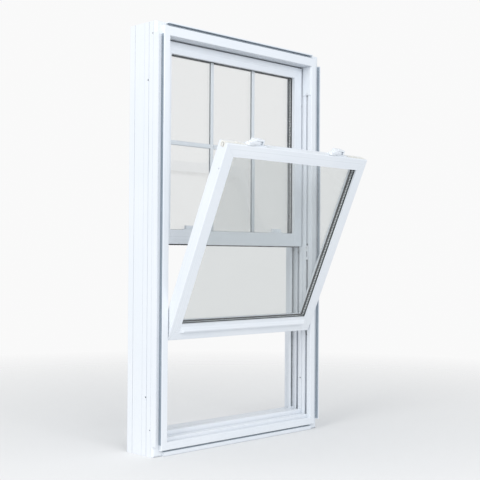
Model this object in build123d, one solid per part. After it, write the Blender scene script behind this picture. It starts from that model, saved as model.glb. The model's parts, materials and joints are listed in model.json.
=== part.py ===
from build123d import *
import os
from math import cos, radians, sin, tan

# Tilt-in double-hung window of welded white vinyl, in millimetres.
# +Z is up, +X is to the right seen from the room, +Y points out of doors.
# The origin is the centre of the frame's underside: middle of the width, middle of the depth.
# "u" below is a depth measured outwards from the room side of the frame.

# ---- driving dimensions: frame ----
daylight_width = 552.0
daylight_height = 1042.0
frame_depth = 116.0
lip_jamb = 20.0
lip_head = 24.5
lip_sill = 20.0
flange_jamb = 19.5
flange_head = 10.0
flange_sill = 15.5
flange_setback = 10.0
wall = 2.5

# ---- driving dimensions: tracks in the jambs ----
lower_track_u = 18.0
upper_track_u = 52.5
slot_width = 8.0
channel_width = 14.0
channel_floor = 17.0
stop_u = 72.0
stop_thickness = 9.0
stop_rise = 8.0
rear_rebate = 14.0

# ---- driving dimensions: sill steps, heights above the lip ----
tread_u = 13.0
tread_rise = 9.5
dam_u = 36.0
dam_rise = 22.0
sill_end_rise = 17.0
weep_x = 190.0
weep_half = 14.0
weep_low = 12.0
weep_height = 7.0

# ---- driving dimensions: sashes ----
sash_width = 545.4
sash_thickness = 32.0
stile_width = 32.5
lower_height = 535.6
lower_top_rail = 32.0
lower_bottom_rail = 45.0
upper_height = 532.0
upper_top_rail = 32.0
upper_bottom_rail = 38.0
interlock_step = 1.2
interlock_height = 12.5
lower_front_u = 2.0
upper_front_u = 36.5
upper_bottom_rise = 507.0

# ---- driving dimensions: glazing ----
glass_thickness = 3.0
unit_thickness = 16.0
lower_setback = 7.0
upper_setback = 11.0
glass_bite = 12.0
seal_gap = 0.4
spacer_width = 9.0
bead_bevel = 1.2
bar_face = 12.0
bar_thickness = 7.0

# ---- driving dimensions: motion at rest ----
tilt_angle = 24.0
pivot_depth = 16.0
pivot_rise = 8.0
pivot_height = 272.0
latch_show = 2.8

# ---- driving dimensions: hardware ----
lock_axis_offset = 158.0
keeper_offset = 166.0
latch_length = 74.0
latch_bolt_width = 7.0
latch_bolt_height = 9.0
pivot_bar_width = 7.0
pivot_bar_thickness = 3.2
shoe_height = 62.0
shoe_toe = 7.5
cam_radius = 5.6
cam_clearance = 0.05
running_gap = 0.5
screw_radius = 3.2
screw_shank = 1.6
fit_gap = 0.1

# ---- places worked out from the dimensions above ----
front_y = -frame_depth / 2
half_daylight = daylight_width / 2
half_width = half_daylight + lip_jamb + flange_jamb
sill_edge = lip_sill + flange_sill
head_edge = sill_edge + daylight_height
frame_top = head_edge + lip_head + flange_head
half_sash = sash_width / 2
lower_pivot_y = front_y + lower_front_u + pivot_depth
lower_pivot_z = sill_edge + pivot_height

parts = {}


def depth(u):
    """Y of a depth u measured outwards from the room side of the frame."""
    return front_y + u


def section(points, rounds=()):
    """A flat outline with some of its corners rounded."""
    face = make_face(Polyline(*points, close=True))
    for point, radius in rounds:
        corner = face.vertices().sort_by_distance((point[0], point[1], 0))[0]
        face = fillet(corner, radius)
    return face


def block(x0, x1, y0, y1, z0, z1):
    """A plain box between two corners."""
    size = (abs(x1 - x0), abs(y1 - y0), abs(z1 - z0))
    return Pos((x0 + x1) / 2, (y0 + y1) / 2, (z0 + z1) / 2) * Box(*size)


def along_x(face, half_length):
    """A (y, z) outline drawn out to both sides along X."""
    return extrude(Plane.YZ * face, amount=half_length, both=True)


def along_z(face, z0, z1):
    """An (x, y) outline drawn up along Z."""
    return extrude(Pos(0, 0, z0) * face, amount=z1 - z0)


def wedge(points, y0, y1):
    """An (x, z) outline drawn through the depth from y0 to y1."""
    face = make_face(Polyline(*points, close=True))
    return extrude(Plane.XZ.offset(-y0) * face, amount=-(y1 - y0))


def pin_x(radius, x0, x1, y, z):
    """A cylinder along X."""
    return Pos((x0 + x1) / 2, y, z) * Rot(0, 90, 0) * Cylinder(radius, abs(x1 - x0))


def pin_y(radius, x, y0, y1, z):
    """A cylinder along Y."""
    return Pos(x, (y0 + y1) / 2, z) * Rot(90, 0, 0) * Cylinder(radius, abs(y1 - y0))


def pin_z(radius, x, y, z0, z1):
    """A cylinder along Z."""
    return Pos(x, y, (z0 + z1) / 2) * Cylinder(radius, abs(z1 - z0))


def mirrored(shape):
    """The same piece on the other side of the window."""
    return mirror(shape, Plane.YZ)


def both_sides(name, right):
    """Keep a right-hand piece and its mirrored left-hand twin."""
    parts[name + "_right"] = right
    parts[name + "_left"] = mirrored(right)


def pair_in_one_node(name, right):
    """Keep a right-hand piece and its twin as two solids of one node."""
    parts[name] = Compound(children=[right, mirrored(right)])


# ---- frame: four mitred and welded extrusions ----
lip_corner_x = half_daylight + lip_jamb
inward = 0.8
margin = 5.0


def frame_corner(side, top):
    """Points of one weld line, from inside the daylight to beyond the outer corner."""
    edge = head_edge if top else sill_edge
    lip = lip_head if top else -lip_sill
    flange = flange_head if top else -flange_sill
    inner = (side * (half_daylight - inward * lip_jamb), edge - inward * lip)
    middle = (side * lip_corner_x, edge + lip)
    stretch = 1 + margin / flange_jamb
    outer = (side * (lip_corner_x + stretch * flange_jamb), edge + lip + stretch * flange)
    return [inner, middle, outer]


def grooves_in_jamb(z0, z1):
    """The shallow ribs and grooves down the hidden outer face of a jamb."""
    lines = [(20.0, 1.0, 0.6), (37.0, 1.6, 1.4), (55.5, 1.0, 0.6), (94.0, 1.6, 1.4)]
    cuts = []
    for u, width, deep in lines:
        y = depth(u)
        cuts.append(block(half_width - deep, half_width + 1, y - width / 2, y + width / 2, z0, z1))
    return cuts


def jamb_section():
    """Right jamb: v runs outwards from the daylight face, u into the depth."""
    d, v = depth, half_daylight
    outer = lip_jamb + flange_jamb
    points = [
        (v, d(0)), (v + lip_jamb, d(0)), (v + lip_jamb, d(flange_setback)),
        (v + outer, d(flange_setback)), (v + outer, d(frame_depth)),
        (v + rear_rebate, d(frame_depth)), (v + rear_rebate, d(stop_u + stop_thickness)),
        (v - stop_rise, d(stop_u + stop_thickness)), (v - stop_rise, d(stop_u)), (v, d(stop_u)),
    ]
    rounds = [(points[0], 1.2), (points[1], 2.5), (points[3], 7.0), (points[4], 2.0),
              (points[5], 1.0), (points[7], 1.0), (points[8], 1.0)]
    return section(points, rounds)


def jamb_chambers(z0, z1):
    """Hollow chambers of the jamb, given as v and u ranges."""
    half = channel_width / 2
    lower_0, lower_1 = lower_track_u - half, lower_track_u + half
    upper_0, upper_1 = upper_track_u - half, upper_track_u + half
    outer = lip_jamb + flange_jamb
    rear_u = stop_u + stop_thickness
    ranges = [
        (wall, lip_jamb - wall, wall, lower_0 - wall),
        (wall, channel_floor, lower_1 + wall, upper_0 - wall),
        (channel_floor + wall, outer - wall, flange_setback + wall, upper_0 - wall),
        (channel_floor + wall, outer - wall, upper_0, stop_u - wall),
        (wall, channel_floor, upper_1 + wall, stop_u - wall),
        (rear_rebate + wall, outer - wall, rear_u, frame_depth - wall),
        (wall - stop_rise, rear_rebate, stop_u + wall, rear_u - wall),
    ]
    cuts = []
    for v0, v1, u0, u1 in ranges:
        cuts.append(block(half_daylight + v0, half_daylight + v1, depth(u0), depth(u1), z0, z1))
    for centre in (lower_track_u, upper_track_u):
        y = depth(centre)
        x = half_daylight
        cuts.append(block(x + wall, x + channel_floor, y - half, y + half, z0, z1))
        cuts.append(block(x - 1, x + wall, y - slot_width / 2, y + slot_width / 2, z0, z1))
    return cuts


fin_thickness = 3.0
fin_front = 0.5
fin_end_above = 5.0
fin_end_below = 8.0
install_radius = 2.5
install_u = 40.5
install_heights = (150.0, 962.0)
assembly_radius = 2.0
jamb_line_depths = (34.5, 61.5, 66.5)
jamb_line_width = 1.6
jamb_line_deep = 1.2


def build_head():
    """Head: z runs up from the daylight edge."""
    d, z = depth, head_edge
    outer = lip_head + flange_head
    points = [
        (d(0), z), (d(0), z + lip_head), (d(flange_setback), z + lip_head),
        (d(flange_setback), z + outer), (d(frame_depth), z + outer),
        (d(frame_depth), z + rear_rebate), (d(stop_u + stop_thickness), z + rear_rebate),
        (d(stop_u + stop_thickness), z - stop_rise), (d(stop_u), z - stop_rise), (d(stop_u), z),
    ]
    rounds = [(points[0], 1.2), (points[1], 2.5), (points[3], 4.0), (points[4], 2.0),
              (points[5], 1.0), (points[7], 1.0), (points[8], 1.0)]
    body = along_x(section(points, rounds), half_width + margin)
    line = frame_corner(-1, True) + frame_corner(1, True)[::-1]
    body = body & wedge(line, d(-1), d(frame_depth + 1))
    cuts = [
        (wall, lip_head - wall, wall, dam_u),
        (wall, outer - wall, dam_u + wall, stop_u - wall),
        (rear_rebate + wall, outer - wall, stop_u, frame_depth - wall),
        (wall - stop_rise, rear_rebate, stop_u + wall, stop_u + stop_thickness - wall),
    ]
    reach = half_width
    for w0, w1, u0, u1 in cuts:
        body -= block(-reach, reach, d(u0), d(u1), z + w0, z + w1)
    # fine moulded lines along the underside over the lower track
    line_pitch, line_width, line_deep = 6.0, 2.0, 1.4
    for index in range(5):
        y = d(6.0 + index * line_pitch)
        body -= block(-half_daylight, half_daylight, y, y + line_width, z - 1, z + line_deep)
    fin_half = half_daylight + fin_end_above
    top = z + outer
    fin = block(-fin_half, fin_half, d(fin_front), d(flange_setback + 5), top - fin_thickness, top)
    return body + fin


def build_sill():
    """Sill: lip, tread under the lower sash, dam and sloped outer top."""
    d, z = depth, sill_edge
    points = [
        (d(0), z), (d(0), z - lip_sill), (d(flange_setback), z - lip_sill),
        (d(flange_setback), 0), (d(frame_depth), 0), (d(frame_depth), z + sill_end_rise),
        (d(dam_u), z + dam_rise), (d(dam_u), z + tread_rise), (d(tread_u), z + tread_rise),
        (d(tread_u), z),
    ]
    rounds = [(points[0], 1.8), (points[1], 2.5), (points[3], 4.0), (points[4], 2.0),
              (points[5], 3.0), (points[6], 2.5), (points[8], 1.6)]
    body = along_x(section(points, rounds), half_width + margin)
    left, right = frame_corner(-1, False), frame_corner(1, False)
    high = z + dam_rise + margin
    line = [left[2], left[1], (-half_daylight, z), (-half_daylight, high),
            (half_daylight, high), (half_daylight, z), right[1], right[2]]
    body = body & wedge(line, d(-1), d(frame_depth + 1))
    # behind the jamb stops the sill runs on to the rebated faces of the jambs
    run_on = half_daylight + rear_rebate
    rear = block(-run_on, run_on, d(stop_u + stop_thickness), d(frame_depth + 1), z - rear_rebate, high)
    body += along_x(section(points, rounds), half_width + margin) & rear
    reach = half_width
    slope = (dam_rise - sill_end_rise) / (frame_depth - dam_u)
    low_floor = z - lip_sill + wall
    body -= block(-reach, reach, d(wall), d(tread_u - wall), low_floor, z - wall)
    body -= block(-reach, reach, d(tread_u + wall), d(dam_u - wall), wall, z + tread_rise - wall)
    first, middle = dam_u + wall, (dam_u + frame_depth) / 2
    for u0, u1 in ((first, middle - wall), (middle, frame_depth - wall)):
        roof = z + dam_rise - wall - slope * (u1 - dam_u)
        body -= block(-reach, reach, d(u0), d(u1), wall, roof)
    flange_gap = 4.5
    flange_front = 3.0
    flange_half = half_daylight + fin_end_below
    flange = block(-flange_half, flange_half, d(flange_front), d(flange_setback + 2),
                   0, z - lip_sill - flange_gap)
    flange = fillet(flange.edges().filter_by(Axis.X).sort_by(Axis.Y)[0:2], 1.5)
    # two weep slots through the outer wall
    for side in (-1, 1):
        x = side * weep_x
        body -= block(x - weep_half, x + weep_half, d(frame_depth - 2 * wall),
                      d(frame_depth + 1), weep_low, weep_low + weep_height)
    return body + flange


parts["frame_head"] = build_head()
parts["frame_sill"] = build_sill()


def build_jamb():
    """Right jamb, cut to the weld lines and to the tops of the sill and head."""
    body = along_z(jamb_section(), -margin, frame_top + margin)
    for cut in jamb_chambers(-margin, frame_top + margin):
        body -= cut
    for cut in grooves_in_jamb(-margin, frame_top + margin):
        body -= cut
    for u in jamb_line_depths:
        body -= block(half_daylight - 1, half_daylight + jamb_line_deep, depth(u) - jamb_line_width / 2,
                      depth(u) + jamb_line_width / 2, -margin, frame_top + margin)
    top, bottom = frame_corner(1, True), frame_corner(1, False)
    foot = [(top[0][0], sill_edge), (half_daylight, sill_edge)]
    line = top[::-1] + foot + bottom[1:]
    body = body & wedge(line, depth(-1), depth(frame_depth + 1))
    outer = half_width
    body += block(outer - fin_thickness, outer, depth(fin_front), depth(flange_setback + 8),
                  sill_edge - fin_end_below, head_edge + fin_end_above)
    # screw holes through both walls for fixing the window to the studs
    for z in install_heights:
        body -= pin_x(install_radius, half_daylight - 1, half_width + 1, depth(install_u), z)
    # small blind assembly holes near the ends of the outer face
    low_hole, high_hole = sill_edge + 32.5, head_edge + 3.0
    for u, z in ((23.0, low_hole), (23.0, high_hole)):
        body -= pin_x(assembly_radius, outer - wall - 1, outer + 1, depth(u), z)
    body -= parts["frame_sill"]
    return body


both_sides("frame_jamb", build_jamb())

def build_weep_cover():
    """Hinged flap housing over a weep slot on the outside of the sill."""
    back = depth(frame_depth)
    half, low, high, thickness = 21.0, 8.0, 23.0, 2.5
    hollow_half, hollow_deep, drip_width = 15.0, 1.4, 1.6
    plate = block(-half, half, back, back + thickness, low, high)
    plate = fillet(plate.edges().filter_by(Axis.Y), 3.0)
    plate = fillet(plate.faces().sort_by(Axis.Y)[-1].edges(), 1.0)
    plate -= block(-hollow_half, hollow_half, back - 1, back + hollow_deep, low + 1.5, high - 2.0)
    plate -= block(-hollow_half, hollow_half, back + 1, back + 3, low + 2.0, low + 2.0 + drip_width)
    return plate


weep_covers = build_weep_cover()
weep_group = [Pos(side * weep_x, 0, 0) * weep_covers for side in (-1, 1)]
parts["frame_weep_covers"] = Compound(children=weep_group)


# ---- frame: covers, balance springs and their brackets ----
cover_low_rise = 957.0
cover_proud = 2.6
strip_low_rise = 516.0
strip_deep = 7.0
strip_thickness = 1.5
coil_rise = 490.0
coil_radius = 5.4
coil_core = 2.4
ribbon_thickness = 0.5
ribbon_width = 11.0
ribbon_x = half_daylight + channel_floor - 2.5
upper_coil_rise = 1014.0


def build_track_cover():
    """Snap-in cover over the top of the lower sash's track; it also stops the sash."""
    low, high = sill_edge + cover_low_rise, head_edge - fit_gap
    x = half_daylight - fit_gap
    plate = block(x - cover_proud, x, depth(2.5), depth(33.5), low, high)
    plate = fillet(plate.edges().filter_by(Axis.Z).sort_by(Axis.X)[0:2], 1.2)
    key_half = slot_width / 2 - fit_gap
    y = depth(lower_track_u)
    plate += block(x - 0.5, half_daylight + strip_deep, y - key_half, y + key_half, low + 4, high - 4)
    # strip behind the slot, so that the latch bolts run in a shallow channel
    strip_half = channel_width / 2 - fit_gap
    plate += block(half_daylight + strip_deep - strip_thickness, half_daylight + strip_deep,
                   y - strip_half, y + strip_half, sill_edge + strip_low_rise, low + 8)
    # finger recess at the foot of the cover
    plate -= block(x - cover_proud - 1, x - 0.8, y - 5.5, y + 3.5, low - 1, low + 4.5)
    return plate


def build_coil_bracket():
    """White bracket that carries the coiled balance spring in the track."""
    z = sill_edge + coil_rise
    y = depth(lower_track_u)
    x = half_daylight - fit_gap
    plate = block(x - 2.2, x, y - 7.5, y + 7.5, z - 22, z + 20)
    plate = fillet(plate.edges().filter_by(Axis.X), 2.0)
    key_half = slot_width / 2 - fit_gap
    plate += block(x - 0.5, half_daylight + 2.8, y - key_half, y + key_half, z - 20, z + 18)
    plate += block(x + 2.7, x + 6, y - 5, y + 5, z + 9, z + 18)
    # countersunk screw hole and the oblong window over the coil
    plate -= pin_x(screw_shank + 0.1, x - 4, x + 10, y, z + 13)
    plate -= pin_x(screw_radius + 0.1, x - 4, x - 1.0, y, z + 13)
    plate -= block(x - 4, x + 4, y - 2.4, y + 2.4, z - 15, z + 3)
    return plate


def screw(radius, shank, length, head):
    """Pan-head screw along Z: the head sits from 0 up to its height, the shank points down."""
    body = Pos(0, 0, head / 2) * Cylinder(radius, head)
    body = fillet(body.faces().sort_by(Axis.Z)[-1].edges(), head * 0.45)
    body += Pos(0, 0, -length / 2) * Cylinder(shank, length)
    slot = 0.8
    deep = head * 0.55
    body -= Pos(0, 0, head) * Box(2 * radius - 2.2, slot, 2 * deep)
    body -= Pos(0, 0, head) * Box(slot, 2 * radius - 2.2, 2 * deep)
    return body


def build_coil(rise, track_u):
    """Rolled flat spring: a drum with a hollow core."""
    z = sill_edge + rise
    y = depth(track_u)
    x = ribbon_x - ribbon_thickness - coil_radius
    half = ribbon_width / 2
    drum = pin_y(coil_radius, x, y - half, y + half, z)
    return drum - pin_y(coil_core, x, y - half - 1, y + half + 1, z)


def build_ribbon(rise, track_u, shoe_top):
    """Straight run of the flat spring from the coil down to the sash shoe."""
    y = depth(track_u)
    half = ribbon_width / 2
    high = sill_edge + rise
    return block(ribbon_x - ribbon_thickness, ribbon_x, y - half, y + half, shoe_top, high)


lower_shoe_top = lower_pivot_z + shoe_height / 2
upper_pivot_z = sill_edge + upper_bottom_rise + pivot_rise
upper_shoe_top = upper_pivot_z + shoe_height / 2

both_sides("track_cover", build_track_cover())
both_sides("coil_bracket", build_coil_bracket())
pair_in_one_node("lower_coils", build_coil(coil_rise, lower_track_u))
pair_in_one_node("upper_coils", build_coil(upper_coil_rise, upper_track_u))
pair_in_one_node("lower_ribbons", build_ribbon(coil_rise, lower_track_u, lower_shoe_top))
pair_in_one_node("upper_ribbons", build_ribbon(upper_coil_rise, upper_track_u, upper_shoe_top))

bracket_screw = screw(screw_radius, screw_shank, 12.0, 1.0)
screw_y, screw_z = depth(lower_track_u), sill_edge + coil_rise + 13
screw_face = half_daylight - fit_gap - 1.0
right_screw = Pos(screw_face, screw_y, screw_z) * Rot(0, -90, 0) * bracket_screw
parts["bracket_screws"] = Compound(children=[right_screw, mirrored(right_screw)])


# ---- sash shoes, which slide in the jamb tracks ----
def build_shoe(centre_y, centre_z, with_cam):
    """Balance shoe: a block in the track; the lower one is bored for the tilt cam."""
    half = channel_width / 2 - running_gap
    x0, x1 = half_daylight + wall + running_gap, half_daylight + channel_floor - 3.1
    z0, z1 = centre_z - shoe_height / 2, centre_z + shoe_height / 2
    shoe = block(x0, x1, centre_y - half, centre_y + half, z0, z1)
    shoe_edges = shoe.edges().filter_by(Axis.Y)
    inner_foot = shoe_edges.sort_by_distance((x0, centre_y, z0))[0]
    shoe = chamfer(inner_foot, shoe_toe)
    shoe = chamfer(shoe.edges().filter_by(Axis.Y).group_by(Axis.Z)[-1], 1.5)
    shoe += block(x1 - 0.5, ribbon_x - ribbon_thickness - 0.05, centre_y - half, centre_y + half,
                  z1 - 14, z1 - 4)
    if with_cam:
        shoe -= pin_x(cam_radius + cam_clearance, x0 - 1, x1 + 5, centre_y, centre_z)
    else:
        half_y = pivot_bar_width / 2 + fit_gap
        half_z = pivot_bar_thickness / 2 + fit_gap
        shoe -= block(x0 - 1, x0 + 8.1, centre_y - half_y, centre_y + half_y,
                      centre_z - half_z, centre_z + half_z)
    for offset in (-22.0, 22.0):
        shoe -= pin_x(2.2, x0 - 1, x0 + 4, centre_y, centre_z + offset)
    return shoe


both_sides("lower_shoe", build_shoe(lower_pivot_y, lower_pivot_z, True))
both_sides("upper_shoe", build_shoe(depth(upper_track_u), upper_pivot_z, False))


# ---- sashes: a local frame with x across, y from the front face back, z up from the foot ----
sash_rounds = 1.8


def rail_points(height_0, height_1, inner_high, g):
    """(y, z) outline of a level sash member, open to the rear for glass and bead."""
    t = sash_thickness
    if inner_high:
        bite = height_1 - glass_bite
        return [(0, height_0), (t, height_0), (t, bite), (g, bite), (g, height_1), (0, height_1)]
    bite = height_0 + glass_bite
    return [(0, height_0), (g, height_0), (g, bite), (t, bite), (t, height_1), (0, height_1)]


def sash_outline(height, top, bottom, g, name, ledge):
    """The four mitred members of one sash."""
    w = half_sash
    inner_x = w - stile_width
    reach = 6.0
    top_line = [(inner_x, height - top), (w, height)]
    low_line = [(inner_x, bottom), (w, 0)]

    def beyond(line):
        (x0, z0), (x1, z1) = line
        grow = 1 + reach / stile_width
        return [(x0, z0), (x0 + (x1 - x0) * grow, z0 + (z1 - z0) * grow)]

    def across(lines):
        right = beyond(lines)
        left = [(-x, z) for x, z in right]
        return [left[1], left[0], right[0], right[1]]

    t, r = sash_thickness, sash_rounds
    level = {
        "top_rail": (rail_points(height - top, height, False, g), top_line, (0, height), (t, height)),
        "bottom_rail": (rail_points(0, bottom, True, g), low_line, (0, 0), (t, 0)),
    }
    members = {}
    for key, (points, line, front, rear) in level.items():
        face = section(points, [(front, r), (rear, r)])
        body = along_x(face, w + reach) & wedge(across(line), -2, t + 2)
        members[key] = body
    members["top_rail"] -= block(-w, w, wall, t - wall, height - top + glass_bite + wall, height - wall)
    members["bottom_rail"] -= block(-w, w, wall, t - wall, wall, bottom - glass_bite - wall)
    bite_x = inner_x + glass_bite
    points = [(w, 0), (w, t), (bite_x, t), (bite_x, g), (inner_x, g), (inner_x, 0)]
    face = section(points, [(points[0], r), (points[1], r)])
    stile = along_z(face, -reach, height + reach)
    stile -= block(inner_x + glass_bite + wall, w - wall, wall, t - wall, -reach, height + reach)
    line = [beyond(top_line)[1], top_line[0], low_line[0], beyond(low_line)[1]]
    stile = stile & wedge(line, -2, t + 2)
    members["stile_right"] = stile
    members["stile_left"] = mirrored(stile)
    if ledge:
        nose, under, over, crown = -9.0, 25.0, 29.0, 38.0
        ledge_face = section([(0.5, 21.0), (nose + 1, under), (nose, over), (0.5, crown)],
                             [((nose, over), 1.2), ((nose + 1, under), 1.2)])
        lift = along_x(ledge_face, inner_x)
        for side in (-1, 1):
            x = side * inner_x
            corner = [(x + side, 1), (x + side, nose - 2), (x - side * (1 - nose), nose - 2), (x, 0)]
            trim = make_face(Polyline(*corner, close=True))
            lift -= along_z(trim, 0, 60)
        members["bottom_rail"] += lift
    else:
        # the meeting rail's face is let in above the interlock ledge along its foot
        members["bottom_rail"] -= block(-inner_x, inner_x, -1, interlock_step, interlock_height, bottom + 1)
    return {name + "_" + key: body for key, body in members.items()}


def glazing(height, top, bottom, g, name):
    """Two panes with a spacer between them, the gasket and the four rear beads."""
    inner_x = half_sash - stile_width
    z0, z1 = bottom, height - top
    t = sash_thickness
    inset = glass_bite - 3.0
    nodes = {}

    def sheet(grow, y0, y1):
        return block(-inner_x - grow, inner_x + grow, y0, y1, z0 - grow, z1 + grow)

    pane_0 = g + seal_gap
    pane_1 = pane_0 + glass_thickness
    pane_3 = g + unit_thickness - seal_gap
    pane_2 = pane_3 - glass_thickness
    nodes["glass_inner"] = sheet(inset, pane_0, pane_1)
    nodes["glass_outer"] = sheet(inset, pane_2, pane_3)
    nodes["spacer"] = sheet(inset, pane_1, pane_2) - sheet(inset - spacer_width, pane_1 - 1, pane_2 + 1)
    ring = sheet(inset, g, pane_0) - sheet(-1.0, g - 1, pane_0 + 1)
    rear = sheet(inset, pane_3, g + unit_thickness) - sheet(-1.0, pane_3 - 1, t)
    nodes["gaskets"] = Compound(children=[ring, rear])
    bead_0 = g + unit_thickness
    bead = glass_bite - fit_gap
    ring = sheet(bead, bead_0, t) - sheet(-0.5, bead_0 - 1, t + 1)
    inner = ring.edges().filter_by(lambda e: abs(e.center().Y - t) < 0.01
                                   and abs(e.center().X) < inner_x + 2
                                   and z0 - 2 < e.center().Z < z1 + 2)
    ring = chamfer(inner, bead_bevel)
    far = inner_x + glass_bite + 1
    low, high = z0 - glass_bite - 1, z1 + glass_bite + 1
    span = 3 * glass_bite
    side_line = [(far, low), (far, high), (far - span, high - span), (far - span, low + span)]
    side = ring & wedge(side_line, bead_0 - 2, t + 2)
    nodes["beads_upright"] = Compound(children=[side, mirrored(side)])
    level_line = [(far, high), (-far, high), (-far + span, high - span), (far - span, high - span)]
    upper = ring & wedge(level_line, bead_0 - 2, t + 2)
    low_line = [(far, low), (-far, low), (-far + span, low + span), (far - span, low + span)]
    lower = ring & wedge(low_line, bead_0 - 2, t + 2)
    nodes["beads_level"] = Compound(children=[upper, lower])
    return {name + "_" + key: body for key, body in nodes.items()}


def grille(height, top, bottom):
    """Flat bars in the space between the panes: two uprights and one level bar, half-lapped."""
    inner_x = half_sash - stile_width
    z0, z1 = bottom, height - top
    inset = glass_bite - 3.0 - spacer_width
    mid_y = upper_setback + unit_thickness / 2
    y0, y1 = mid_y - bar_thickness / 2, mid_y + bar_thickness / 2
    half = bar_face / 2
    x_reach = inner_x + inset - 0.2
    low, high = z0 - inset + 0.2, z1 + inset - 0.2
    mid_z = (z0 + z1) / 2
    level = block(-x_reach, x_reach, y0, y1, mid_z - half, mid_z + half)
    level = fillet(level.edges().filter_by(Axis.X), 2.0)
    nodes = {}
    for side, word in ((-1, "left"), (1, "right")):
        x = side * inner_x / 3
        bar = block(x - half, x + half, y0, y1, low, high)
        bar = fillet(bar.edges().filter_by(Axis.Z), 2.0)
        bar -= block(x - half - 1, x + half + 1, mid_y, y1 + 1, mid_z - half, mid_z + half)
        level -= block(x - half, x + half, y0 - 1, mid_y, mid_z - half - 1, mid_z + half + 1)
        nodes["upper_bar_upright_" + word] = bar
    nodes["upper_bar_level"] = level
    return nodes


latch_depth_0, latch_depth_1 = 7.0, 25.0
bolt_centre = pivot_depth


def latch_pocket(height):
    """Recess in the top rail and the side opening for the right-hand tilt latch."""
    x0 = half_sash - latch_length
    cut = block(x0 - fit_gap, half_sash + 1, latch_depth_0 - fit_gap, latch_depth_1 + fit_gap,
                height - 13.5, height + 1)
    return cut


def build_latch_case(height):
    """Housing of the right-hand tilt latch, let into the top rail, open along its top."""
    x0 = half_sash - latch_length
    top = height + 0.6
    case = block(x0, half_sash, latch_depth_0, latch_depth_1, height - 13.4, top)
    case = fillet(case.edges().filter_by(Axis.Z).sort_by(Axis.X)[0:2], 2.5)
    half = latch_bolt_width / 2 + fit_gap
    low, high = height - 3.0 - latch_bolt_height - fit_gap, height - 3.0 + fit_gap
    case -= block(x0 + 12, half_sash + 1, bolt_centre - half, bolt_centre + half, low, high)
    case -= block(x0 + 14, x0 + 40, bolt_centre - half, bolt_centre + half, high - 1, top + 1)
    case -= block(half_sash - 13, half_sash - 7, latch_depth_0 + 3, latch_depth_1 - 3, top - 0.6, top + 1)
    return case


def build_latch_slider(height):
    """Bolt of the right-hand latch with its finger button on top."""
    x0 = half_sash - latch_length
    half = latch_bolt_width / 2
    low, high = height - 3.0 - latch_bolt_height, height - 3.0
    tip = half_sash + latch_show
    bolt = block(x0 + 20, tip, bolt_centre - half, bolt_centre + half, low, high)
    nose = bolt.faces().sort_by(Axis.X)[-1].edges().filter_by(Axis.Z).sort_by(Axis.Y)[-1]
    bolt = chamfer(nose, 4.5, 2.2)
    button = block(x0 + 22, x0 + 33, bolt_centre - half, bolt_centre + half, high - 0.5, height + 2.6)
    button = fillet(button.edges().filter_by(Axis.Y).sort_by(Axis.Z)[-2:], 1.2)
    for index in range(3):
        x = x0 + 25 + index * 2.5
        button -= block(x - 0.4, x + 0.4, bolt_centre - half - 1, bolt_centre + half + 1,
                        height + 2.1, height + 4)
    return bolt + button


lock_y = 17.0
lock_shift = 4.0
lock_base_height = 2.6
hood_height = 15.5
roof_thickness = 2.8
spindle_radius = 4.0
cam_hub = 10.4
hook_reach = 17.0
hook_half_width = 5.5
lock_screw_places = (-25.0, 30.0)
lever_length = 42.0
lever_front = 1.0
lever_rear = 14.5
grip_length = 7.6
grip_rise = 3.0
skirt_gap = 0.9


def build_lock_case(axis_x, foot):
    """Cam lock body: flange, and a hood that is open to the front, the left and the keeper."""
    x, z = axis_x - lock_shift, foot
    base = block(x - 30, x + 35, 6.0, 29.0, z, z + lock_base_height)
    base = fillet(base.edges().filter_by(Axis.Z), 6.0)
    base = fillet(base.faces().sort_by(Axis.Z)[-1].edges(), 0.8)
    hood = block(x - 11, x + 25, 9.0, 30.5, z + lock_base_height - 0.1, z + hood_height)
    hood = fillet(hood.edges().filter_by(Axis.Z), 5.0)
    hood = fillet(hood.faces().sort_by(Axis.Z)[-1].edges(), 1.6)
    case = base + hood
    low, high = z + lock_base_height + 0.4, z + hood_height - roof_thickness
    reach = cam_hub + 0.8
    axis_y = lock_y + 1.5
    case -= pin_z(reach, axis_x, axis_y, low, high)
    case -= block(axis_x - reach, axis_x + reach, axis_y, 32, low, high)
    case -= block(x - 12, axis_x + reach + 2.2, 8, axis_y, low, high)
    sweep = pin_z(hook_reach + 0.6, axis_x, axis_y, low, high)
    case -= sweep & block(axis_x - reach, axis_x + 30, axis_y - 7.5, 40, low, high)
    case -= pin_z(spindle_radius + cam_clearance, axis_x, axis_y, z - 1, z + hood_height + 1)
    for offset in lock_screw_places:
        case -= pin_z(screw_shank + 0.1, x + offset, lock_y, z - 1, z + 4)
        case -= pin_z(screw_radius + 0.1, x + offset, lock_y, z + 1.4, z + 4)
    return case


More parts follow.
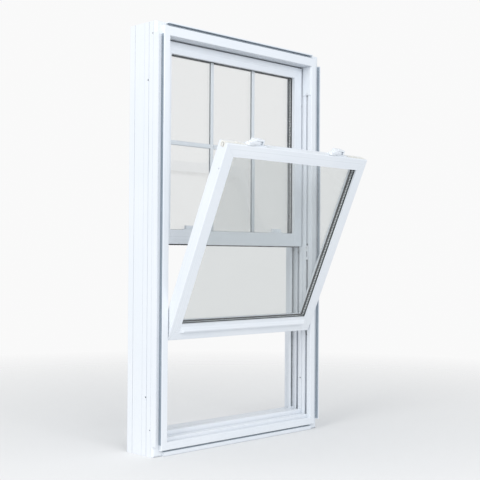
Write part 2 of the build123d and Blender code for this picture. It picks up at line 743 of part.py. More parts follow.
def build_lock_cam(axis_x, foot):
    """Spindle with the hooked cam inside the hood and the stepped thumb lever to the left."""
    z = foot
    axis_y = lock_y + 1.5
    low, high = z + lock_base_height + 0.8, z + hood_height - roof_thickness - 0.4
    cam = pin_z(cam_hub, axis_x, axis_y, low, high)
    hook = block(axis_x, axis_x + 30, axis_y - hook_half_width, axis_y + hook_half_width, low, high)
    cam += hook & pin_z(hook_reach, axis_x, axis_y, low, high)
    spindle = pin_z(spindle_radius, axis_x, axis_y, z + 0.4, z + hood_height + 0.9)
    spindle = chamfer(spindle.faces().sort_by(Axis.Z)[-1].edges(), 0.5)
    left = axis_x - lever_length
    neck = axis_x - 16.0
    outline = [(axis_x, axis_y - 8.5), (neck, lever_front + 3.0), (left, lever_front), (left, lever_rear),
               (neck, lever_rear + 3.0), (axis_x, axis_y)]
    face = section(outline, [(outline[2], 3.5), (outline[3], 3.5)])
    plate_top = low + 3.4
    lever = cam + spindle + along_z(face, low, plate_top)
    # three grip steps that rise towards the hub
    first = left + 1.2
    for index in range(3):
        x = first + index * grip_length
        top = plate_top + 2.2 + index * grip_rise
        step = block(x, x + grip_length + 1.0, lever_front + 0.6, lever_rear - 0.9, plate_top - 0.1, top)
        step = fillet(step.edges().filter_by(Axis.Y).sort_by(Axis.Z)[-2:], 0.5)
        lever += step
    lever += block(first + 3 * grip_length, axis_x - 6, 6.5, 16.5, plate_top - 0.1, high)
    # skirt under the outer half of the lever, clear of the base when the lever swings
    skirt_foot, roof = z + skirt_gap, low + 0.1
    skirt = along_z(face, skirt_foot, roof)
    sweep = pin_z(36.5, axis_x, axis_y, z, roof + 1)
    skirt -= sweep & block(axis_x - 60, axis_x + 60, 5.4, 60, z, roof + 1)
    skirt -= block(axis_x - 21, axis_x + 1, -5, 60, z, roof + 1)
    lever += skirt
    return lever


keeper_screw_x, keeper_screw_y = 22.0, 5.4


def build_keeper(x, foot):
    """Keeper on the upper meeting rail: a flat base with a cup open to the room and above."""
    z = foot
    base = block(x - 27, x + 27, 0.6, 10.2, z, z + 2.4)
    base = fillet(base.edges().filter_by(Axis.Z), 3.0)
    cup = block(x - 17.5, x + 17.5, 0.6, 10.2, z + 2.3, z + 12.0)
    cup = fillet(cup.edges().filter_by(Axis.Z), 2.5)
    cup -= block(x - 14, x + 14, -1, 7.8, z + 2.4, z + 13)
    cup = fillet(cup.faces().sort_by(Axis.Z)[-1].edges(), 0.6)
    keeper = base + cup
    for side in (-1, 1):
        hole_x = x + side * keeper_screw_x
        keeper -= pin_z(screw_shank + 0.1, hole_x, keeper_screw_y, z - 1, z + 4)
        keeper -= pin_z(screw_radius + 0.1, hole_x, keeper_screw_y, z + 1.3, z + 4)
    return keeper


pivot_plate_length = 52.0


def build_pivot_bar(tip_x):
    """Pivot bar let into the foot of the right stile; its tongue reaches into the track."""
    w = half_sash
    half = pivot_bar_thickness / 2
    tongue = block(w - 20, tip_x, pivot_depth - pivot_bar_width / 2, pivot_depth + pivot_bar_width / 2,
                   pivot_rise - half, pivot_rise + half)
    plate = block(w - pivot_plate_length, w - wall - 0.3, pivot_depth - 8, pivot_depth + 8,
                  wall + 0.05, pivot_rise + half)
    plate = fillet(plate.edges().filter_by(Axis.Z), 1.0)
    bar = tongue + plate
    for offset in foot_screw_places:
        bar -= pin_z(screw_shank + 0.02, w + offset, pivot_depth, 0, 8.1)
    return bar


def bar_opening():
    """Opening in the side of the stile that the tongue of the pivot bar comes out of."""
    w = half_sash
    half_y = pivot_bar_width / 2 + fit_gap
    half_z = pivot_bar_thickness / 2 + fit_gap
    return block(w - wall - 1, w + 1, pivot_depth - half_y, pivot_depth + half_y,
                 pivot_rise - half_z, pivot_rise + half_z)


def build_cam_seat():
    """Round tilt cam in the shoe, slotted for the tongue of the pivot bar."""
    x0 = half_daylight + wall + running_gap
    x1 = half_daylight + channel_floor - 3.1
    seat = pin_x(cam_radius, x0, x1, pivot_depth, pivot_rise)
    half_y = pivot_bar_width / 2 + fit_gap
    half_z = pivot_bar_thickness / 2 + fit_gap
    return seat - block(x0 - 1, x0 + 8.1, pivot_depth - half_y, pivot_depth + half_y,
                        pivot_rise - half_z, pivot_rise + half_z)


foot_screw_places = (-40.0, -12.0)


def foot_screws():
    """Screws up through the foot of each stile into its pivot bar, two for each bar."""
    pieces = []
    for offset in foot_screw_places:
        one = Rot(180, 0, 0) * screw(screw_radius, screw_shank, 8.0, 1.6)
        right = Pos(half_sash + offset, pivot_depth, 0) * one
        pieces += [right, mirrored(right)]
    return pieces


def build_bulb_seal():
    """Foam-filled bulb along the rear of the lower sash's underside."""
    half = half_sash - 8
    face = section([(21.0, 0), (28.0, 0), (28.0, -3.4), (21.0, -3.4)],
                   [((28.0, -3.4), 3.0), ((21.0, -3.4), 3.0)])
    return along_x(face, half)


def cut_both(store, keys, cuts):
    """Take right-hand cuts and their mirror images out of the level members and stiles."""
    for cut in cuts:
        for key in keys:
            store[key] -= cut
            if "stile" not in key:
                store[key] -= mirrored(cut)


lower = sash_outline(lower_height, lower_top_rail, lower_bottom_rail, lower_setback, "lower", True)
lower.update(glazing(lower_height, lower_top_rail, lower_bottom_rail, lower_setback, "lower"))
upper = sash_outline(upper_height, upper_top_rail, upper_bottom_rail, upper_setback, "upper", False)
upper.update(glazing(upper_height, upper_top_rail, upper_bottom_rail, upper_setback, "upper"))
upper.update(grille(upper_height, upper_top_rail, upper_bottom_rail))

# holes and pockets that the hardware needs in the sash members
shank_holes = []
for offset in foot_screw_places:
    shank_holes.append(pin_z(screw_shank + 0.02, half_sash + offset, pivot_depth, -1, wall + 1))
side_dot = pin_x(1.6, half_sash - wall - 1, half_sash + 1, 4.0, lower_height - 66.0)
cut_both(lower, ["lower_stile_right", "lower_top_rail"], [latch_pocket(lower_height), side_dot])
cut_both(lower, ["lower_stile_right", "lower_bottom_rail"], [bar_opening()] + shank_holes)
cut_both(upper, ["upper_stile_right", "upper_bottom_rail"], [bar_opening()] + shank_holes)
for store, name in ((lower, "lower"), (upper, "upper")):
    store[name + "_stile_left"] = mirrored(store[name + "_stile_right"])


def add_pair(store, name, right):
    """Keep a right-hand sash piece and its mirrored left-hand twin."""
    store[name + "_right"] = right
    store[name + "_left"] = mirrored(right)


bar_tip = half_daylight + wall + running_gap + 8.0
add_pair(lower, "lower_pivot_bar", build_pivot_bar(bar_tip))
add_pair(lower, "tilt_cam", build_cam_seat())
add_pair(lower, "latch_case", build_latch_case(lower_height))
add_pair(lower, "latch_slider", build_latch_slider(lower_height))
add_pair(upper, "upper_pivot_bar", build_pivot_bar(bar_tip))
lower["bulb_seal"] = build_bulb_seal()

lock_screws = []
keeper_screws = []
for side, word in ((-1, "left"), (1, "right")):
    axis_x = side * lock_axis_offset
    lower["lock_case_" + word] = build_lock_case(axis_x, lower_height)
    lower["lock_cam_" + word] = build_lock_cam(axis_x, lower_height)
    upper["keeper_" + word] = build_keeper(side * keeper_offset, upper_bottom_rail)
    for offset in lock_screw_places:
        place = Pos(axis_x - lock_shift + offset, lock_y, lower_height + 1.4)
        lock_screws.append(place * screw(screw_radius, screw_shank, 10.0, 1.2))
    for offset in (-keeper_screw_x, keeper_screw_x):
        place = Pos(side * keeper_offset + offset, keeper_screw_y, upper_bottom_rail + 1.3)
        keeper_screws.append(place * screw(screw_radius, screw_shank, 6.0, 1.1))
for piece in lock_screws:
    lower["lower_top_rail"] -= piece
for piece in keeper_screws:
    upper["upper_bottom_rail"] -= piece
lower["lower_screws"] = Compound(children=lock_screws + foot_screws())
upper["upper_screws"] = Compound(children=keeper_screws + foot_screws())

lower_place = Location((0, lower_pivot_y, lower_pivot_z), (tilt_angle, 0, 0))
lower_place = lower_place * Location((0, -pivot_depth, -pivot_rise))
upper_place = Location((0, depth(upper_front_u), sill_edge + upper_bottom_rise))
for name, body in lower.items():
    parts[name] = lower_place * body
for name, body in upper.items():
    parts[name] = upper_place * body

os.makedirs("parts", exist_ok=True)
for name, body in parts.items():
    body.label = name
    export_step(body, os.path.join("parts", name + ".step"))
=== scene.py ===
"""A white vinyl double-hung window, its lower sash raised and tilted into the room."""

import json
import math
from random import Random

import bmesh
import bpy
from mathutils import Matrix, Vector


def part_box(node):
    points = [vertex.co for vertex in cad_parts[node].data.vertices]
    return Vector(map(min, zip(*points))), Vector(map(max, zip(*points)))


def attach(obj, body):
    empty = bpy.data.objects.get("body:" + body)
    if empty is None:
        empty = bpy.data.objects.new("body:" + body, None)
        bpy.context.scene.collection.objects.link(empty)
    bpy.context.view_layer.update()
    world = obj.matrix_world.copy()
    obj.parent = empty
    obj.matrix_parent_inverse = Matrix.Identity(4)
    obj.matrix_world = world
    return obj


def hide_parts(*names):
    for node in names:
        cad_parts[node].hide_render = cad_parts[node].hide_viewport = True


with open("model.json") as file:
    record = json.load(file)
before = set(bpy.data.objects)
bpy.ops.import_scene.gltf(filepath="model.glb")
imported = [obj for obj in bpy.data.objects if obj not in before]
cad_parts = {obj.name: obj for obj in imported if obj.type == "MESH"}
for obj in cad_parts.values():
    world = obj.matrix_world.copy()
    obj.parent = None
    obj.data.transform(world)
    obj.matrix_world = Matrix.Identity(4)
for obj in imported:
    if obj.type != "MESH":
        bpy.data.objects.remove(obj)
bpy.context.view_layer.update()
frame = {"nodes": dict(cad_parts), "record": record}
nodes = frame["nodes"]
record = frame["record"]
scene = bpy.context.scene

TILT = math.radians(24)
# Grey that grooves and tight corners are mixed toward: painted shade.
GREY_CREVICE_SHADE = (0.50, 0.53, 0.56, 1)


# --- materials -------------------------------------------------------------------------------

class Shader:
    """One material's node tree, with short calls for adding and joining nodes."""

    def __init__(self, name):
        self.material = bpy.data.materials.new(name)
        self.material.use_nodes = True
        self.tree = self.material.node_tree
        self.surface = self.tree.nodes["Principled BSDF"]
        self.output = self.tree.nodes["Material Output"]

    def add(self, kind, **settings):
        node = self.tree.nodes.new(kind)
        for key, value in settings.items():
            setattr(node, key, value)
        return node

    def join(self, source, target):
        self.tree.links.new(source, target)

    def set(self, **values):
        for key, value in values.items():
            self.surface.inputs[key.replace("_", " ")].default_value = value

    def place(self, scale=(1, 1, 1), turn=(0, 0, 0)):
        """Object coordinates, turned and then scaled, for a texture to read."""
        coordinates = self.add("ShaderNodeTexCoord")
        turned = self.add("ShaderNodeMapping", vector_type="POINT")
        turned.inputs["Rotation"].default_value = turn
        scaled = self.add("ShaderNodeMapping", vector_type="POINT")
        scaled.inputs["Scale"].default_value = scale
        self.join(coordinates.outputs["Object"], turned.inputs["Vector"])
        self.join(turned.outputs["Vector"], scaled.inputs["Vector"])
        return scaled.outputs["Vector"]

    def noise(self, where, scale, detail=3.0, roughness=0.5):
        """Fractal noise read at these coordinates."""
        texture = self.add("ShaderNodeTexNoise")
        texture.inputs["Scale"].default_value = scale
        texture.inputs["Detail"].default_value = detail
        texture.inputs["Roughness"].default_value = roughness
        self.join(where, texture.inputs["Vector"])
        return texture.outputs["Fac"]

    def between(self, source, low, high, start=0.3, end=0.7):
        """source, read from start to end, as a number from low to high."""
        spread = self.add("ShaderNodeMapRange")
        spread.inputs["From Min"].default_value = start
        spread.inputs["From Max"].default_value = end
        spread.inputs["To Min"].default_value = low
        spread.inputs["To Max"].default_value = high
        self.join(source, spread.inputs["Value"])
        return spread.outputs["Result"]

    def blend(self, share, first, second):
        """A mix of two colours, given as tuples or sockets."""
        mix = self.add("ShaderNodeMix", data_type="RGBA")
        for socket, value in ((mix.inputs[6], first), (mix.inputs[7], second)):
            if isinstance(value, tuple):
                socket.default_value = value
            else:
                self.join(value, socket)
        self.join(share, mix.inputs[0])
        return mix.outputs[2]

    def relief(self, height, depth, before=None, strength=1.0):
        """A bumped normal, laid over an earlier one if there is one."""
        bump = self.add("ShaderNodeBump")
        bump.inputs["Strength"].default_value = strength
        bump.inputs["Distance"].default_value = depth
        self.join(height, bump.inputs["Height"])
        if before is not None:
            self.join(before, bump.inputs["Normal"])
        return bump.outputs["Normal"]

    def crevice(self, reach):
        """Near 1 in tight corners and grooves, 0 on open faces."""
        occlusion = self.add("ShaderNodeAmbientOcclusion", samples=6)
        occlusion.inputs["Distance"].default_value = reach
        return self.between(occlusion.outputs["AO"], 1, 0, start=0.25, end=0.85)


def vinyl(name, clean, dull, along, tilt=0.0, roughness=0.3, reach=0.005, crevice_shade=0.25):
    """Extruded white PVC: die lines along the profile, faint cloudiness, and painted shade greying its
    grooves.
    """
    shader = Shader(name)
    stretch = tuple(1.5 if axis == along else 260.0 for axis in "XYZ")
    lines = shader.noise(shader.place(stretch, (-tilt, 0, 0)), 1.0, detail=2.0)
    cloud = shader.noise(shader.place(), 5.0)
    speckle = shader.noise(shader.place(), 1400.0, detail=1.0)
    tone = shader.blend(shader.between(cloud, 0.0, 1.0), clean, dull)
    # Grooves and tight corners, found by an occlusion mask, are mixed toward grey: painted shade.
    tone_shift = shader.blend(shader.between(shader.crevice(reach), 0.0, crevice_shade, 0, 1), tone, GREY_CREVICE_SHADE)
    shader.join(tone_shift, shader.surface.inputs["Base Color"])
    shader.join(shader.between(lines, roughness - 0.05, roughness + 0.08), shader.surface.inputs["Roughness"])
    grain = shader.relief(speckle, 0.00004, strength=0.5)
    shader.join(shader.relief(lines, 0.00008, grain), shader.surface.inputs["Normal"])
    shader.set(IOR=1.53, Specular_IOR_Level=0.5)
    return shader.material


def moulded(name, clean, dull, roughness=0.35, texture=1800.0):
    """Moulded plastic: a fine spark texture, a slight cloudiness and painted shade greying its corners."""
    shader = Shader(name)
    cloud = shader.noise(shader.place(), 22.0)
    spark = shader.noise(shader.place(), texture, detail=2.0)
    tone = shader.blend(shader.between(cloud, 0.0, 1.0), clean, dull)
    # Tight corners, found by an occlusion mask, are mixed toward grey: painted shade.
    tone_shift = shader.blend(shader.between(shader.crevice(0.004), 0.0, 0.4, 0, 1), tone, GREY_CREVICE_SHADE)
    shader.join(tone_shift, shader.surface.inputs["Base Color"])
    shader.join(shader.between(spark, roughness - 0.06, roughness + 0.1), shader.surface.inputs["Roughness"])
    shader.join(shader.relief(spark, 0.00006), shader.surface.inputs["Normal"])
    shader.set(IOR=1.5)
    return shader.material


def metal(name, bright, tarnish, roughness, along=None, grain=900.0):
    """Bare metal with a drawn or cast grain and patches of tarnish."""
    shader = Shader(name)
    stretch = tuple(0.02 if axis == along else 1.0 for axis in "XYZ")
    lines = shader.noise(shader.place(stretch), grain, detail=3.0)
    patches = shader.noise(shader.place(), 60.0, detail=4.0)
    tone = shader.blend(shader.between(patches, 0.0, 1.0), bright, tarnish)
    shader.join(tone, shader.surface.inputs["Base Color"])
    shader.join(shader.between(lines, roughness - 0.08, roughness + 0.12), shader.surface.inputs["Roughness"])
    shader.join(shader.relief(lines, 0.00003), shader.surface.inputs["Normal"])
    shader.set(Metallic=1.0)
    return shader.material


def striped_metal(name, bright, dark):
    """Rolled spacer metal with slanting corrugations that show as fine stripes."""
    shader = Shader(name)
    wave = shader.add("ShaderNodeTexWave", wave_type="BANDS", bands_direction="DIAGONAL")
    wave.inputs["Scale"].default_value = 75.0
    wave.inputs["Distortion"].default_value = 0.4
    shader.join(shader.place(), wave.inputs["Vector"])
    shader.join(shader.blend(wave.outputs["Fac"], dark, bright), shader.surface.inputs["Base Color"])
    shader.join(shader.relief(wave.outputs["Fac"], 0.0004), shader.surface.inputs["Normal"])
    shader.set(Metallic=0.35, Roughness=0.4)
    return shader.material


def bar_paint(name, clean, dull, shaded, side_axis):
    """Enamelled bar whose narrow sides, between the panes, are painted a darker grey as shade."""
    shader = Shader(name)
    cloud = shader.noise(shader.place(), 30.0)
    orange_peel = shader.noise(shader.place(), 500.0)
    facing = shader.add("ShaderNodeNewGeometry")
    split = shader.add("ShaderNodeSeparateXYZ")
    shader.join(facing.outputs["Normal"], split.inputs["Vector"])
    squared = shader.add("ShaderNodeMath", operation="POWER")
    squared.inputs[1].default_value = 2.0
    shader.join(split.outputs[side_axis], squared.inputs[0])
    tone = shader.blend(shader.between(cloud, 0.0, 1.0), clean, dull)
    # Faces turned along side_axis take the shaded colour: painted shade on the bar's sides.
    sided = shader.blend(shader.between(squared.outputs[0], 0.0, 1.0, 0.45, 0.8), tone, shaded)
    shader.join(sided, shader.surface.inputs["Base Color"])
    shader.join(shader.between(orange_peel, 0.25, 0.4), shader.surface.inputs["Roughness"])
    shader.join(shader.relief(orange_peel, 0.00004), shader.surface.inputs["Normal"])
    return shader.material


def rubber(name, dark, tone_shift):
    """Matt seal rubber, or woven pile seen from afar, in two mixed tones."""
    shader = Shader(name)
    skin = shader.noise(shader.place(), 700.0)
    patches = shader.noise(shader.place(), 25.0)
    tone = shader.blend(shader.between(patches, 0.0, 1.0), dark, tone_shift)
    shader.join(tone, shader.surface.inputs["Base Color"])
    shader.join(shader.between(skin, 0.5, 0.7), shader.surface.inputs["Roughness"])
    shader.join(shader.relief(skin, 0.00005), shader.surface.inputs["Normal"])
    shader.set(IOR=1.52)
    return shader.material


def glass(name, tint):
    """Float glass with faint waves and streaks of cleaning haze; lamps shine straight through it."""
    shader = Shader(name)
    waves = shader.noise(shader.place((1, 1, 0.5)), 6.0, detail=1.0)
    streaks = shader.noise(shader.place((14, 14, 2.5), (0, math.radians(28), 0)), 2.0, detail=2.0)
    shader.join(shader.between(streaks, 0.0, 0.035, 0.5, 0.8), shader.surface.inputs["Roughness"])
    shader.join(shader.relief(waves, 0.0006, strength=0.3), shader.surface.inputs["Normal"])
    shader.set(Base_Color=tint, Transmission_Weight=1.0, IOR=1.5)
    path = shader.add("ShaderNodeLightPath")
    either = shader.add("ShaderNodeMath", operation="MAXIMUM")
    clear = shader.add("ShaderNodeBsdfTransparent")
    clear.inputs["Color"].default_value = tuple(math.sqrt(part) for part in tint)
    mix = shader.add("ShaderNodeMixShader")
    shader.join(path.outputs["Is Shadow Ray"], either.inputs[0])
    shader.join(path.outputs["Is Diffuse Ray"], either.inputs[1])
    shader.join(either.outputs[0], mix.inputs[0])
    shader.join(shader.surface.outputs[0], mix.inputs[1])
    shader.join(clear.outputs[0], mix.inputs[2])
    shader.join(mix.outputs[0], shader.output.inputs["Surface"])
    return shader.material


WHITE = (0.86, 0.89, 0.93, 1)
DULL_WHITE = (0.82, 0.86, 0.91, 1)
CREAM = (0.88, 0.87, 0.83, 1)
DULL_CREAM = (0.83, 0.82, 0.77, 1)
BAR = (0.84, 0.88, 0.93, 1)
DULL_BAR = (0.80, 0.85, 0.90, 1)

# The head, the sill and the level sash rails take deeper painted shade in their grooves.
frame_level = vinyl("frame_vinyl_level", WHITE, DULL_WHITE, "X", reach=0.009, crevice_shade=0.5)
frame_upright = vinyl("frame_vinyl_upright", WHITE, DULL_WHITE, "Z")
sash_level = vinyl("sash_vinyl_level", WHITE, DULL_WHITE, "X", reach=0.007, crevice_shade=0.45)
sash_upright = vinyl("sash_vinyl_upright", WHITE, DULL_WHITE, "Z")
sash_leaning = vinyl("sash_vinyl_leaning", WHITE, DULL_WHITE, "Z", TILT)
white_plastic = moulded("white_plastic", WHITE, DULL_WHITE)
cream_plastic = moulded("cream_plastic", CREAM, DULL_CREAM)
grey_plastic = moulded("grey_plastic", (0.36, 0.38, 0.40, 1), (0.30, 0.32, 0.34, 1), 0.45)
enamel = moulded("white_enamel", WHITE, DULL_WHITE, 0.22, 300.0)
# The upright bars get painted shade on their sides, and the level bar on its top and bottom.
bar_enamel = bar_paint("bar_enamel", BAR, DULL_BAR, (0.26, 0.28, 0.30, 1), "X")
level_bar_enamel = bar_paint("level_bar_enamel", BAR, DULL_BAR, (0.52, 0.57, 0.62, 1), "Z")
spring_steel = metal("spring_steel", (0.62, 0.63, 0.64, 1), (0.48, 0.49, 0.50, 1), 0.25, "Z")
screw_steel = metal("screw_steel", (0.72, 0.72, 0.70, 1), (0.55, 0.54, 0.50, 1), 0.3)
cast_zinc = metal("cast_zinc", (0.56, 0.57, 0.58, 1), (0.42, 0.43, 0.44, 1), 0.42)
spacer_metal = metal("spacer_metal", (0.70, 0.71, 0.72, 1), (0.55, 0.56, 0.58, 1), 0.35)
black_rubber = rubber("black_rubber", (0.012, 0.012, 0.013, 1), (0.03, 0.03, 0.032, 1))
# Dark rubber for the glazing lips and for the rings round the latch bolts: partly real gasket, partly painted
# shade.
gasket_and_shade_rubber = rubber("gasket_and_shade_rubber", (0.045, 0.05, 0.052, 1), (0.09, 0.10, 0.105, 1))
# Blue-grey for the strips that line the frame's grooves: painted shade.
groove_shade_grey = rubber("groove_shade_grey", (0.40, 0.46, 0.52, 1), (0.34, 0.40, 0.46, 1))
upper_glass = glass("upper_glass", (0.925, 0.93, 0.93, 1))
lower_glass = glass("lower_glass", (0.87, 0.882, 0.882, 1))
pile_grey = rubber("pile_grey", (0.30, 0.32, 0.34, 1), (0.20, 0.22, 0.24, 1))
weld_grey = moulded("weld_grey", (0.66, 0.70, 0.75, 1), (0.60, 0.64, 0.69, 1), 0.4)
spacer_strip = striped_metal("spacer_strip", (0.80, 0.82, 0.82, 1), (0.32, 0.34, 0.35, 1))

LEVEL_NODES = ("frame_head", "frame_sill", "lower_beads_level", "lower_bottom_rail", "lower_top_rail",
               "upper_beads_level", "upper_bottom_rail", "upper_top_rail")
BY_SLOT = {
    "frame_vinyl": frame_upright,
    "sash_vinyl": sash_upright,
    "cover_plastic": white_plastic,
    "spring_steel": spring_steel,
    "screw_steel": screw_steel,
    "shoe_plastic": grey_plastic,
    "zinc_cast": cast_zinc,
    "latch_plastic": cream_plastic,
    "lock_enamel": enamel,
    "pane_glass": upper_glass,
    "spacer_metal": spacer_metal,
    "seal_rubber": black_rubber,
    "bar_enamel": bar_enamel,
}
slot_of = {part["node"]: part["material_slot"] for part in record["subparts"]}


def finish_for(name):
    """The material of one CAD node, with die lines that run along the member."""
    slot = slot_of[name]
    if slot == "frame_vinyl" and name in LEVEL_NODES:
        return frame_level
    if slot == "sash_vinyl" and name in LEVEL_NODES:
        return sash_level
    if slot == "sash_vinyl" and name.startswith("lower"):
        return sash_leaning
    if name in ("lower_glass_inner", "lower_glass_outer"):
        return lower_glass
    if name == "upper_bar_level":
        return level_bar_enamel
    return BY_SLOT[slot]


def paint(piece, material):
    """Give a piece this one material."""
    piece.data.materials.clear()
    piece.data.materials.append(material)


for name, node in nodes.items():
    paint(node, finish_for(name))


# --- detail pieces, each built in the frame of the sash or jamb it belongs to ---------------------

MM = 0.001
HALF_SASH = 272.7
SIGHT_X = 240.2
GLASS = 3.0
UNIT = 16.0
SEAL = 0.4
PIVOT = Vector((0, -0.040, 0.3075))
PIVOT_IN_SASH = Vector((0, 0.016, 0.008))
LOWER_PLACE = (
    Matrix.Translation(PIVOT) @ Matrix.Rotation(TILT, 4, "X") @ Matrix.Translation(-PIVOT_IN_SASH)
)
UPPER_PLACE = Matrix.Translation((0, -0.0215, 0.5425))
SASHES = {
    "lower": {"place": LOWER_PLACE, "body": "lower_sash", "setback": 7.0,
              "foot": 45.0, "crown": 503.6, "high": 535.6,
              "front_butyl": 0.4, "back_butyl": 2.8, "front_lip_shading": 1.8, "rear_lip_shading": 2.2},
    "upper": {"place": UPPER_PLACE, "body": "upper_sash", "setback": 11.0,
              "foot": 38.0, "crown": 500.0, "high": 532.0,
              "front_butyl": 3.0, "back_butyl": 2.4, "front_lip_shading": 0.8, "rear_lip_shading": 4.2},
}
RING_OUTSIDE = 8.8
LIP_OUTSIDE = 8.0


def piece(name, mesh, body, slot, material, place=None, replaced=()):
    """A finished mesh as an object that rides on its body."""
    made = bpy.data.objects.new(name, mesh)
    scene.collection.objects.link(made)
    if place is not None:
        made.matrix_world = place
    mesh.materials.append(material)
    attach(made, body)
    if replaced:
        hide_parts(*replaced)
    return made


def mesh_from(name, points, faces, smooth=False):
    """A mesh from points in millimetres."""
    mesh = bpy.data.meshes.new(name)
    mesh.from_pydata([tuple(value * MM for value in point) for point in points], [], faces)
    mesh.validate()
    if smooth:
        mesh.shade_smooth()
    return mesh


def ring_mesh(name, sash, outlines):
    """Closed outlines of (distance outside the sightline, depth), run round the glass and mitred."""
    points, faces = [], []
    for outline in outlines:
        first = len(points)
        count = len(outline)
        for side, level in ((-1, "foot"), (1, "foot"), (1, "crown"), (-1, "crown")):
            for grow, depth in outline:
                rise = grow if level == "crown" else -grow
                points.append((side * (SIGHT_X + grow), depth, sash[level] + rise))
        for corner in range(4):
            after = (corner + 1) % 4
            for index in range(count):
                following = (index + 1) % count
                faces.append((first + corner * count + index, first + after * count + index,
                              first + after * count + following, first + corner * count + following))
    return mesh_from(name, points, faces)


for word, sash in SASHES.items():
    body, place, stop = sash["body"], sash["place"], sash["setback"]
    inner_back = stop + SEAL + GLASS
    rear_front = stop + UNIT - SEAL - GLASS
    rear = rear_front + GLASS
    first, last = inner_back + sash["front_butyl"], rear_front - sash["back_butyl"]
    outside = RING_OUTSIDE
    channel = [(outside, first), (0.4, first), (0.0, first + 0.8), (0.7, first + 1.8),
               (0.7, last - 1.8), (0.0, last - 0.8), (0.4, last), (outside, last)]
    name = word + "_spacer_channel"
    piece(name, ring_mesh(name, sash, [channel]), body, "spacer_metal", spacer_strip, place,
          (word + "_spacer",))
    rear_sealant = [(outside, last), (-0.4, last), (-0.9, rear_front - 0.05), (outside, rear_front - 0.05)]
    front_sealant = [(outside, inner_back + 0.05), (-0.6, inner_back + 0.05), (-0.3, first), (outside, first)]
    name = word + "_butyl"
    piece(name, ring_mesh(name, sash, [rear_sealant, front_sealant]), body, "seal_rubber", black_rubber, place)
    # The glazing lips are real gaskets, drawn wide enough that their dark rubber also covers bead faces lying
    # in shade: partly painted shade.
    outside = LIP_OUTSIDE
    wide = sash["front_lip_shading"]
    front_lip_shading = [(outside, stop + 0.02), (-0.1, stop - wide), (-0.9, stop - wide * 0.8),
                 (-0.6, stop + 0.3), (outside, stop + SEAL - 0.05)]
    wide = sash["rear_lip_shading"]
    rear_lip_shading = [(outside, rear + 0.05), (-0.7, rear + 0.05), (-1.1, rear + 0.5), (-0.5, rear + wide),
                (0.05, rear + wide), (0.05, rear + SEAL + 0.1), (outside, rear + SEAL - 0.02)]
    name = word + "_glazing_lips"
    piece(name, ring_mesh(name, sash, [front_lip_shading, rear_lip_shading]), body, "seal_rubber", gasket_and_shade_rubber, place,
          (word + "_gaskets",))


def weld_lines(name, corners, body, material, place=None, width=0.5, proud=0.06):
    """Thin raised lines where the mitred corners are welded, each from an inner to an outer point."""
    points, faces = [], []
    for (x0, y0, z0), (x1, y1, z1) in corners:
        along = Vector((x1 - x0, 0, z1 - z0)).normalized()
        across = Vector((-along.z, 0, along.x)) * width / 2
        first = len(points)
        for x, y, z in ((x0, y0, z0), (x1, y1, z1)):
            points += [(x - across.x, y + 0.02, z - across.z), (x, y - proud, z),
                       (x + across.x, y + 0.02, z + across.z)]
        prism = ((0, 3, 4, 1), (1, 4, 5, 2), (0, 2, 5, 3), (0, 1, 2), (3, 5, 4))
        faces += [tuple(first + index for index in face) for face in prism]
    piece(name, mesh_from(name, points, faces), body, "sash_vinyl", material, place)


WELD_INSIDE = 0.3
for word, sash in SASHES.items():
    corners = []
    low_end = (sash["foot"] - WELD_INSIDE, 1.2)
    high_end = (sash["crown"] + WELD_INSIDE, sash["high"] - 1.2)
    for side in (-1, 1):
        for sight, edge in (low_end, high_end):
            corners.append(((side * (SIGHT_X + WELD_INSIDE), 0, sight), (side * (HALF_SASH - 1.4), 0, edge)))
    weld_lines(word + "_weld_lines", corners, sash["body"], weld_grey, sash["place"])


PILE_PITCH = 2.2
BACKING = 0.5
BOX_FACES = ((0, 1, 5, 4), (1, 2, 6, 5), (2, 3, 7, 6), (3, 0, 4, 7), (4, 5, 6, 7), (3, 2, 1, 0))


def pile_strip(name, start, end, lean, height, width, body, seed, place=None, material=pile_grey):
    """A woven backing with rows of cut bristles, along a line, standing up along lean."""
    random = Random(seed)
    start, end, lean = Vector(start), Vector(end), Vector(lean).normalized()
    run = end - start
    along = run.normalized()
    across = lean.cross(along)
    points, faces = [], []

    def prism(centre, half_along, half_across, tall, drift):
        first = len(points)
        for level, shrink in ((0, 1.0), (tall, 0.45)):
            middle = centre + lean * level + drift * level
            for u, v in ((-1, -1), (1, -1), (1, 1), (-1, 1)):
                aside = along * u * half_along * shrink + across * v * half_across * shrink
                points.append(tuple(middle + aside))
        faces.extend(tuple(first + index for index in face) for face in BOX_FACES)

    steps = int(run.length / PILE_PITCH)
    for index in range(steps):
        for row in (-0.3, 0.0, 0.3):
            place_on = start + along * (index + 0.5 + random.uniform(-0.3, 0.3)) * run.length / steps
            drift = along * random.uniform(-0.25, 0.25) + across * random.uniform(-0.2, 0.2)
            tall = height * random.uniform(0.82, 1.0)
            prism(place_on + across * row * width, 0.75, width * 0.13, tall, drift)
    prism((start + end) / 2 - lean * 0.1, run.length / 2, width / 2, BACKING, Vector((0, 0, 0)))
    piece(name, mesh_from(name, points, faces), body, "seal_rubber", material, place)


